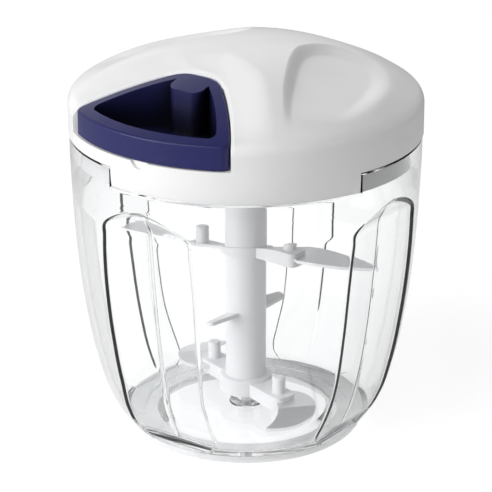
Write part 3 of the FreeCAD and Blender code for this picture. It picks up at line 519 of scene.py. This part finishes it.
def side_line():
    """Nose corner of the handle, direction along its side and the normal outwards."""
    nose = np.array([NOSE_HALF_WIDTH, -NOSE_Y])
    corner = HANDLE_FACE * np.array([math.sin(HANDLE_ANGLE), -math.cos(HANDLE_ANGLE)])
    along = (corner - nose) / np.hypot(*(corner - nose))
    return nose, along, np.array([-along[1], along[0]])


def lid_height(x, y):
    """Height of the lid's top before its shoulder is rounded: dome, ridge, fall to the handle, and scoops."""
    r, u = np.hypot(x, y), np.abs(x)
    z = DOME_RIM + (LID_TOP - DOME_RIM) * (1 - (r / LID_RADIUS) ** DOME_POWER)
    on_ridge = smooth((y - RIDGE_START) / RIDGE_RUN) * (1 - smooth((u - RIDGE_HALF_WIDTH) / RIDGE_FADE))
    z = z - RIDGE_DROP * on_ridge
    nose, along, normal = side_line()
    beside = (u - nose[0]) * normal[0] + (y - nose[1]) * normal[1]
    behind = y + NOSE_Y
    near = 1 - smooth(np.hypot(np.maximum(beside, 0), np.maximum(behind, 0)) / POCKET_BLEND)
    z = z + np.minimum(handle_top_z(r) + POCKET_LIP - z, 0) * near
    above = z - SCOOP_FLOOR + SCOOP_FALL * (u - SCOOP_START)
    return z - SCOOP_ROUND * np.log1p(np.exp(above / SCOOP_ROUND)) * scoop_wall(u, y)


def lid_rows(headings, inset, steps):
    """Rings from the lid's side over its shoulder to the axis, moved inwards.

    A few rounds settle the angle at which the shoulder meets the top, which starts from a guess.
    """
    radius, rounding = LID_RADIUS - inset, SHOULDER - inset
    bend = np.full(len(headings), SHOULDER_BEND)

    def height(r):
        p = polar(r, headings, 0 * headings)
        return lid_height(p[:, 0], p[:, 1]) - inset

    for _ in range(SHOULDER_ROUNDS):
        edge = radius - rounding * (1 - np.cos(bend))
        slope = (height(edge - 1) - height(edge + 1)) / 2
        bend = np.arctan2(1, slope)
    edge_z = height(edge)
    rows = []
    for part in np.linspace(0, 1, SHOULDER_STEPS):
        rows.append((edge + rounding * (np.cos(bend * part) - np.cos(bend)), headings,
                     edge_z + rounding * (np.sin(bend * part) - np.sin(bend))))
    for part in np.linspace(0, 1, steps)[1:-1]:
        r = edge * (1 - part)
        rows.append((r, headings, height(r)))
    middle = height(np.full(len(headings), 0.01))[:1]
    rows.append((np.zeros(1), headings, middle))
    return rows


def lid_surface_z(x, y):
    """Height of the finished lid's top, with its rounded shoulder."""
    heading = np.arctan2(x, -y)
    r = np.minimum(np.hypot(x, y), LID_RADIUS - 0.3)
    rows = lid_rows(heading, 0, INNER_STEPS)[:SHOULDER_STEPS]
    z = lid_height(r * np.sin(heading), -r * np.cos(heading))
    for i in range(len(x)):
        line = np.array([(row[0][i], row[2][i]) for row in rows])[::-1]
        if r[i] > line[0][0]:
            z[i] = np.interp(r[i], line[:, 0], line[:, 1])
    return z


def handle_outline(grow):
    """Outline of the handle seen from above, moved outwards and run out past the lid's side."""
    nose, along, normal = side_line()
    start = nose + normal * grow
    near = start + along * ((nose[1] + grow - start[1]) / along[1])
    radius = NOSE_RADIUS + grow
    opening = math.atan2(normal[1], normal[0])
    cut = radius * math.tan((math.pi / 2 - opening) / 2)
    side = []
    b = start @ along
    length = math.sqrt(b * b - start @ start + HANDLE_FACE**2) - b - (near - start) @ along
    for s in np.linspace(cut, POCKET_REACH, SIDE_STEPS):
        t = min(s / length, 1)
        side.append(near + along * s + normal * (4 * SIDE_BULGE * t * (1 - t)))
    centre = near + np.array([-cut, -radius])
    arc = [centre + radius * np.array([math.cos(a), math.sin(a)])
           for a in np.linspace(opening, math.pi / 2, NOSE_STEPS)]
    right = np.array(side[::-1] + arc[1:])
    left = right[::-1] * [-1, 1]
    return np.vstack([right, left])


def pocket_cutter():
    """The handle's pocket, flared where it meets the lid's top so that its edge is round."""
    outline = handle_outline(POCKET_GAP)
    top = lid_surface_z(outline[:, 0], outline[:, 1])
    follows = [(0, -EDGE_ROUND)]
    for a in np.radians((22, 45, 68, 84)):
        follows.append((EDGE_ROUND * (1 - math.cos(a)), -EDGE_ROUND * (1 - math.sin(a))))
    follows.append((EDGE_ROUND * 1.3, 0.4))
    rings = [np.c_[outline, np.full(len(outline), POCKET_FLOOR)]]
    rings += [np.c_[handle_outline(POCKET_GAP + grow), top + z] for grow, z in follows]
    rings.append(np.c_[rings[-1][:, :2], np.full(len(outline), CUTTER_TOP)])
    return stacked("pocket", rings)


def make_lid():
    headings = np.radians(np.arange(LID_COLUMNS) * 360 / LID_COLUMNS)
    foot_r = LID_RADIUS - SKIRT_INSET
    rings = ring_rows([(0, LID_FOOT)] + [(foot_r + r, LID_FOOT + z) for r, z in SKIRT_ROUND], headings)
    for part in np.linspace(0, 1, SKIRT_STEPS)[1:]:
        rings.append((foot_r + SKIRT_INSET * math.sin(part * math.pi / 2), headings,
                      LID_FOOT + SKIRT_TAPER * part))
    piece = turned("lid_shell", rings + lid_rows(headings, 0, TOP_STEPS))

    bore = NECK_RADIUS + NECK_GAP
    plug = NECK_RADIUS - NECK_WALL - PLUG_GAP
    inner = LID_RADIUS - LID_WALL
    below = LID_FOOT - 1
    rings = ring_rows([(0, below), (bore, below), (bore, NECK_TOP), (plug, NECK_TOP), (plug, PLUG_FOOT),
                       (plug - PLUG_WALL, PLUG_FOOT), (plug - PLUG_WALL, CEILING_Z), (inner, CEILING_Z),
                       (inner, INNER_RIM_Z)], headings[::3])
    hollow = turned("hollow", rings + lid_rows(headings[::3], LID_WALL, INNER_STEPS))
    combine(hollow, prism("walls", handle_outline(POCKET_GAP + POCKET_WALL), CEILING_Z, CUTTER_TOP))
    for heading in POST_HEADINGS:
        place = polar(POST_PLACE, math.radians(heading), 0.0)
        combine(hollow, round_rod("post", POST_RADIUS, place + [0, 0, PLUG_FOOT], place + [0, 0, CUTTER_TOP]))
    combine(hollow, round_rod("axle_post", AXLE_POST_RADIUS, (0, 0, AXLE_POST_FOOT), (0, 0, CUTTER_TOP)))
    combine(piece, hollow)
    combine(piece, pocket_cutter())

    notch = polar(np.array([LID_RADIUS - NOTCH_DEPTH, LID_RADIUS + CUTTER_REACH]),
                  np.radians([NOTCH_HEADING, NOTCH_HEADING]), np.full(2, NOTCH_Z))
    combine(piece, round_rod("notch", NOTCH_RADIUS, *notch))
    combine(piece, round_rod("eyelet_hole", EYELET_RADIUS, *[(0, y, EYELET_Z) for y in EYELET_Y]))
    for start in LUG_STARTS:
        gap = dict(z0=below, z1=LUG_TOP + LUG_GAP, start=start - LUG_SIDE_GAP,
                   span=LUG_SPAN + 2 * LUG_SIDE_GAP)
        combine(piece, sector("lug_gap", plug + 1, LID_RADIUS + CUTTER_REACH, **gap))
        combine(piece, sector("lug_bevel", LID_RADIUS - LUG_BEVEL_DEPTH, LID_RADIUS + 0.4, flare=LUG_BEVEL,
                              **gap))
    finish_piece(piece, "lid_cover", "lid", "lid_plastic")
    # Painted shade: a dark material on the faces in the gaps round the lugs
    paint_seam_shade(piece, bore)


def paint_seam_shade(piece, bore):
    """Paint shade on the faces of the narrow gaps round the lugs, where no light gets in, with a dark material.
    """
    piece.data.materials.append(SEAM_PAINTED_SHADE)
    over_foot, over_lug, past_bore = SEAM_MARGINS
    for face in piece.data.polygons:
        x, y, z = face.center / MM
        r = math.hypot(x, y)
        outward = (face.normal.x * x + face.normal.y * y) / max(r, 1)
        in_gap = LID_FOOT + over_foot < z < LUG_TOP + over_lug and r > bore + past_bore
        if in_gap and SEAM_FACING[0] < outward < SEAM_FACING[1]:
            face.material_index = 1


# Cord between the eyelet and the knot
def make_pull_cord():
    """Braided tube that stretches from the lid to the handle."""
    radius = (cord_high.x - cord_low.x) / 2 / MM
    y0, y1 = cord_high.y / MM, cord_low.y / MM
    z = (cord_high.z + cord_low.z) / 2 / MM
    a = 2 * math.pi * np.arange(CORD_SIDES) / CORD_SIDES
    rings = []
    for j, y in enumerate(np.linspace(y0, y1, CORD_RINGS)):
        turn = BRAID_TWIST * j
        braid = np.cos(BRAID_STRANDS * a + turn) * np.cos(BRAID_STRANDS * a - turn)
        r = radius * (1 - BRAID_HEIGHT + BRAID_HEIGHT * braid)
        rings.append(np.stack([r * np.cos(a), np.full(CORD_SIDES, y), z + r * np.sin(a)], -1))
    piece = stacked("woven_pull_cord", rings)
    piece.data.materials.append(MATERIALS["cord"])
    piece.data.polygons.foreach_set("use_smooth", [True] * len(piece.data.polygons))
    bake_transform(piece)
    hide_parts("pull_cord")


# Materials
def math_node(tree, operation, *values):
    """Sum, product or the like of numbers or sockets."""
    node = tree.nodes.new("ShaderNodeMath")
    node.operation = operation
    for socket, value in zip(node.inputs, values):
        if isinstance(value, float):
            socket.default_value = value
        else:
            tree.links.new(value, socket)
    return node.outputs[0]


def mix_node(tree, kind, share, low, high):
    """Mix of two values or sockets, FLOAT or RGBA."""
    node = tree.nodes.new("ShaderNodeMix")
    node.data_type = kind
    sockets = {s.name: s for s in node.inputs if s.enabled}
    for key, value in (("Factor", share), ("A", low), ("B", high)):
        if isinstance(value, bpy.types.NodeSocket):
            tree.links.new(value, sockets[key])
        else:
            sockets[key].default_value = value
    return next(s for s in node.outputs if s.enabled)


def range_node(tree, value, low, high, start=0.0, end=1.0, kind="SMOOTHSTEP"):
    """Maps a socket from low and high to start and end, and holds it there outside."""
    node = tree.nodes.new("ShaderNodeMapRange")
    node.interpolation_type = kind
    for key, number in (("From Min", low), ("From Max", high), ("To Min", start), ("To Max", end)):
        node.inputs[key].default_value = number
    tree.links.new(value, node.inputs["Value"])
    return node.outputs["Result"]


class Nodes:
    """A material's node tree with short ways to add and join nodes."""

    def __init__(self, name):
        self.material = bpy.data.materials.new(name)
        self.material.use_nodes = True
        self.tree = self.material.node_tree
        self.shader = self.tree.nodes["Principled BSDF"]
        self.place = self.add("ShaderNodeTexCoord").outputs["Object"]

    def add(self, kind, **values):
        node = self.tree.nodes.new(kind)
        for key, value in values.items():
            setattr(node, key, value)
        return node

    def link(self, a, b):
        self.tree.links.new(a, b)

    def noise(self, scale, detail, stretch=(1, 1, 1)):
        """Noise with that many features to the metre, thinner along a stretched axis."""
        mapping = self.add("ShaderNodeMapping")
        mapping.inputs["Scale"].default_value = stretch
        noise = self.add("ShaderNodeTexNoise")
        noise.inputs["Scale"].default_value = scale
        noise.inputs["Detail"].default_value = detail
        self.link(self.place, mapping.inputs["Vector"])
        self.link(mapping.outputs["Vector"], noise.inputs["Vector"])
        return noise.outputs["Fac"]

    def tones(self, value, low, high):
        """Maps noise to colours between two."""
        ramp = self.add("ShaderNodeValToRGB")
        for element, position, colour in zip(ramp.color_ramp.elements, (0.35, 0.65), (low, high)):
            element.position = position
            element.color = (*colour, 1)
        self.link(value, ramp.inputs["Fac"])
        return ramp.outputs["Color"]

    def roughness(self, value, rough, low, high):
        """Lets noise vary the roughness between two shares of it."""
        varied = range_node(self.tree, value, 0.3, 0.7, rough * low, rough * high, "LINEAR")
        self.link(varied, self.shader.inputs["Roughness"])

    def bump(self, height, depth):
        bump = self.add("ShaderNodeBump")
        bump.inputs["Distance"].default_value = depth
        bump.inputs["Strength"].default_value = 1.0
        self.link(height, bump.inputs["Height"])
        self.link(bump.outputs["Normal"], self.shader.inputs["Normal"])

    def colour(self, socket):
        self.link(socket, self.shader.inputs["Base Color"])

    def set(self, **values):
        for key, value in values.items():
            self.shader.inputs[key.replace("_", " ")].default_value = value

    def moulded(self, rough, grain):
        """Uneven satin and a fine moulded grain."""
        self.roughness(self.noise(SATIN, 4), rough, 0.88, 1.12)
        self.bump(self.noise(MOULD_GRAIN, 2), grain)


def plastic(name, dark, light, rough, grain=0.00002, **values):
    """Moulded plastic with faint cloudiness."""
    m = Nodes(name)
    m.colour(m.tones(m.noise(CLOUDS, 3), dark, light))
    m.moulded(rough, grain)
    m.set(**values)
    return m.material


def plastic_with_painted_hollow_shade(name, painted_hollow_shade, dark, light, rough, grain, reach, **values):
    """Moulded plastic with shade painted into the colour of its own hollows, where little light gets in."""
    m = Nodes(name)
    # Painted shade: ambient occlusion mixes the colour towards near black inside the hollows
    hollow = m.add("ShaderNodeAmbientOcclusion", samples=8, only_local=True)
    hollow.inputs["Distance"].default_value = reach
    open_sky = range_node(m.tree, hollow.outputs["AO"], 0.35, 0.9)
    m.colour(mix_node(m.tree, "RGBA", open_sky, (*painted_hollow_shade, 1), m.tones(m.noise(CLOUDS, 3), dark, light)))
    m.moulded(rough, grain)
    m.set(**values)
    return m.material


def metal(name, dark, light, rough, stretch):
    """Metal with fine brush lines that run along the unstretched axes."""
    m = Nodes(name)
    lines = m.noise(900, 4, stretch)
    m.colour(m.tones(lines, dark, light))
    m.roughness(m.noise(400, 3, stretch), rough, 0.8, 1.25)
    m.bump(lines, 0.00001)
    m.set(Metallic=1.0)
    return m.material


def clear_plastic(name, tint, edge, rough, waviness, **values):
    """Clear plastic with faint cloudiness, and painted shade that turns it near black where an upright wall turns
    away.
    """
    m = Nodes(name)
    # Painted shade: the colour goes towards the near-black edge colour where an upright wall turns away from view
    turned_away = m.add("ShaderNodeLayerWeight")
    turned_away.inputs["Blend"].default_value = 0.5
    split = m.add("ShaderNodeSeparateXYZ")
    m.link(m.add("ShaderNodeTexCoord").outputs["Normal"], split.inputs["Vector"])
    upright = range_node(m.tree, math_node(m.tree, "ABSOLUTE", split.outputs["Z"]), 0.75, 0.45)
    share = math_node(m.tree, "POWER", turned_away.outputs["Facing"], 3.2)
    share = math_node(m.tree, "MULTIPLY", share, upright)
    clear = m.tones(m.noise(18, 2), tint, (0.99, 0.995, 1.0))
    m.colour(mix_node(m.tree, "RGBA", share, clear, (*edge, 1)))
    m.roughness(m.noise(60, 3), rough, 0.7, 1.3)
    m.bump(m.noise(55, 1), waviness)
    m.set(Transmission_Weight=1.0, IOR=1.49, **values)
    return m.material


def frosted_plastic(name, dark, light, rough):
    """Pale, partly clear plastic that glows with the light around it."""
    m = Nodes(name)
    m.colour(m.tones(m.noise(40, 3), dark, light))
    m.roughness(m.noise(90, 3), rough, 0.8, 1.2)
    m.bump(m.noise(1400, 2), 0.00002)
    m.set(Transmission_Weight=0.35, IOR=1.2)
    return m.material


MATERIALS = {
    "lid_plastic": plastic("white_lid", (0.80, 0.80, 0.81), (0.83, 0.83, 0.835), 0.36, Coat_Weight=0.15,
                           Coat_Roughness=0.2),
    # The navy handle gets painted shade, near black, inside its cup
    "handle_plastic": plastic_with_painted_hollow_shade("navy_handle", (0.001, 0.001, 0.006), (0.014, 0.015, 0.095),
                                     (0.017, 0.018, 0.108), 0.34, 0.00003, 0.03, Specular_IOR_Level=0.32),
    "column_plastic": plastic("white_column", (0.79, 0.79, 0.81), (0.83, 0.83, 0.845), 0.32),
    "bush_plastic": plastic("grey_bush", (0.42, 0.43, 0.45), (0.47, 0.48, 0.5), 0.5),
    "mechanism_plastic": plastic("grey_mechanism", (0.16, 0.165, 0.175), (0.2, 0.205, 0.215), 0.48),
    "blade_steel": metal("blade_steel", (0.74, 0.75, 0.76), (0.84, 0.85, 0.86), 0.4, (1, 14, 1)),
    "steel": metal("turned_steel", (0.5, 0.5, 0.52), (0.6, 0.6, 0.62), 0.3, (1, 1, 9)),
    "spring_steel": metal("spring_steel", (0.26, 0.28, 0.33), (0.33, 0.35, 0.4), 0.32, (1, 1, 7)),
    "bush_brass": metal("bush_brass", (0.66, 0.5, 0.24), (0.74, 0.58, 0.3), 0.28, (1, 1, 7)),
    "bright_metal": metal("bright_eyelet", (0.76, 0.76, 0.78), (0.82, 0.82, 0.84), 0.12, (1, 6, 1)),
    # The near-black edge colour is painted shade for the bowl's dark edges
    "clear_plastic": clear_plastic("clear_bowl", (0.985, 0.99, 0.99), (0.02, 0.021, 0.022), 0.015, 0.00002,
                                   Specular_IOR_Level=0.35),
    "grip_rubber": frosted_plastic("frosted_ring", (0.86, 0.87, 0.88), (0.92, 0.92, 0.925), 0.4),
    "cord": plastic("woven_cord", (0.74, 0.74, 0.72), (0.84, 0.84, 0.82), 0.8, 0.00006),
}
# Near-black material that paints the shade in the gaps round the lugs
SEAM_PAINTED_SHADE = plastic("lid_seam_painted_shade", (0.05, 0.05, 0.052), (0.08, 0.08, 0.082), 0.7, Specular_IOR_Level=0.2)
for part in frame["record"]["subparts"]:
    mesh = frame["nodes"][part["node"]].data
    mesh.materials.clear()
    mesh.materials.append(MATERIALS[part["material_slot"]])
frame["nodes"]["base_grip_ring"].visible_shadow = False


# Studio
def seen_directly(tree):
    """1 for rays from the camera, also by gloss or through clear plastic, and 0 for rays that light."""
    path = tree.nodes.new("ShaderNodeLightPath").outputs
    value = math_node(tree, "MAXIMUM", path["Is Camera Ray"], path["Is Glossy Ray"])
    value = math_node(tree, "MAXIMUM", value, path["Is Transmission Ray"])
    return math_node(tree, "MULTIPLY", value, math_node(tree, "LESS_THAN", path["Diffuse Depth"], 0.5))


def mirrored(tree):
    """1 for rays thrown back by gloss, and 0 for those that pass through clear plastic."""
    path = tree.nodes.new("ShaderNodeLightPath").outputs
    through_it = math_node(tree, "SUBTRACT", 1.0, path["Is Transmission Ray"])
    return math_node(tree, "MULTIPLY", path["Is Glossy Ray"], through_it)


def make_floor():
    """Pale floor, whose shadows look paler than the light that it throws back.

    Gloss shows it with a painted pool of light round the object, which turns grey further off.
    """
    mesh = bpy.data.meshes.new("floor")
    corners = [(-1, -1), (1, -1), (1, 1), (-1, 1)]
    mesh.from_pydata([(FLOOR_HALF * x, FLOOR_HALF * y, 0) for x, y in corners], [], [(0, 1, 2, 3)])
    material = bpy.data.materials.new("pale_floor")
    material.use_nodes = True
    tree = material.node_tree
    shader = tree.nodes["Principled BSDF"]
    shader.inputs["Roughness"].default_value = 0.9
    shader.inputs["Specular IOR Level"].default_value = 0.0
    shader.inputs["Emission Color"].default_value = (1, 1, 1, 1)
    away = tree.nodes.new("ShaderNodeVectorMath")
    away.operation = "LENGTH"
    tree.links.new(tree.nodes.new("ShaderNodeTexCoord").outputs["Object"], away.inputs[0])
    # Painted pool of light on the floor, seen only in reflections
    pool = range_node(tree, away.outputs["Value"], *GLOSS_POOL)
    bright = mix_node(tree, "FLOAT", mirrored(tree), 1.0, pool)
    shown = seen_directly(tree)
    shown_colour = mix_node(tree, "RGBA", bright, (0, 0, 0, 1), FLOOR_SHOWN)
    shown_glow = mix_node(tree, "FLOAT", bright, 0.0, FLOOR_GLOW)
    colour = mix_node(tree, "RGBA", shown, FLOOR_LIGHT, shown_colour)
    tree.links.new(colour, shader.inputs["Base Color"])
    tree.links.new(mix_node(tree, "FLOAT", shown, 0.0, shown_glow), shader.inputs["Emission Strength"])
    mesh.materials.append(material)
    floor = bpy.data.objects.new("floor", mesh)
    bpy.context.scene.collection.objects.link(floor)


def area_lamp(name, azimuth, elevation, distance, size, power):
    data = bpy.data.lights.new(name, "AREA")
    data.shape = "SQUARE"
    data.size = size
    data.energy = power
    lamp = bpy.data.objects.new(name, data)
    aim(lamp, azimuth, elevation, distance)
    lamp.visible_transmission = False


def make_world():
    """Even light, seen as white near the horizon and dark higher up, where no lamp is."""
    world = bpy.data.worlds.new("studio")
    bpy.context.scene.world = world
    world.use_nodes = True
    tree = world.node_tree
    background = tree.nodes["Background"]
    split = tree.nodes.new("ShaderNodeSeparateXYZ")
    tree.links.new(tree.nodes.new("ShaderNodeTexCoord").outputs["Generated"], split.inputs["Vector"])
    height = range_node(tree, split.outputs["Z"], *HORIZON)
    dimmed = mix_node(tree, "FLOAT", mirrored(tree), 1.0, WORLD_MIRRORED)
    shown = math_node(tree, "MULTIPLY", height, dimmed)
    shown = math_node(tree, "MAXIMUM", shown, tree.nodes.new("ShaderNodeLightPath").outputs["Is Camera Ray"])
    strength = mix_node(tree, "FLOAT", seen_directly(tree), WORLD_LIGHT, shown)
    tree.links.new(strength, background.inputs["Strength"])
    background.inputs["Color"].default_value = (1, 1, 1, 1)


make_camera()
make_bowl()
make_lid()
make_pull_cord()
make_floor()
area_lamp("key", azimuth=-12, elevation=48, distance=1.6, size=1.0, power=10.8)
area_lamp("front", azimuth=-30, elevation=8, distance=1.8, size=1.0, power=19)
area_lamp("back", azimuth=220, elevation=34, distance=1.8, size=1.2, power=3.5)
make_world()
bpy.context.scene.view_settings.view_transform = "Standard"
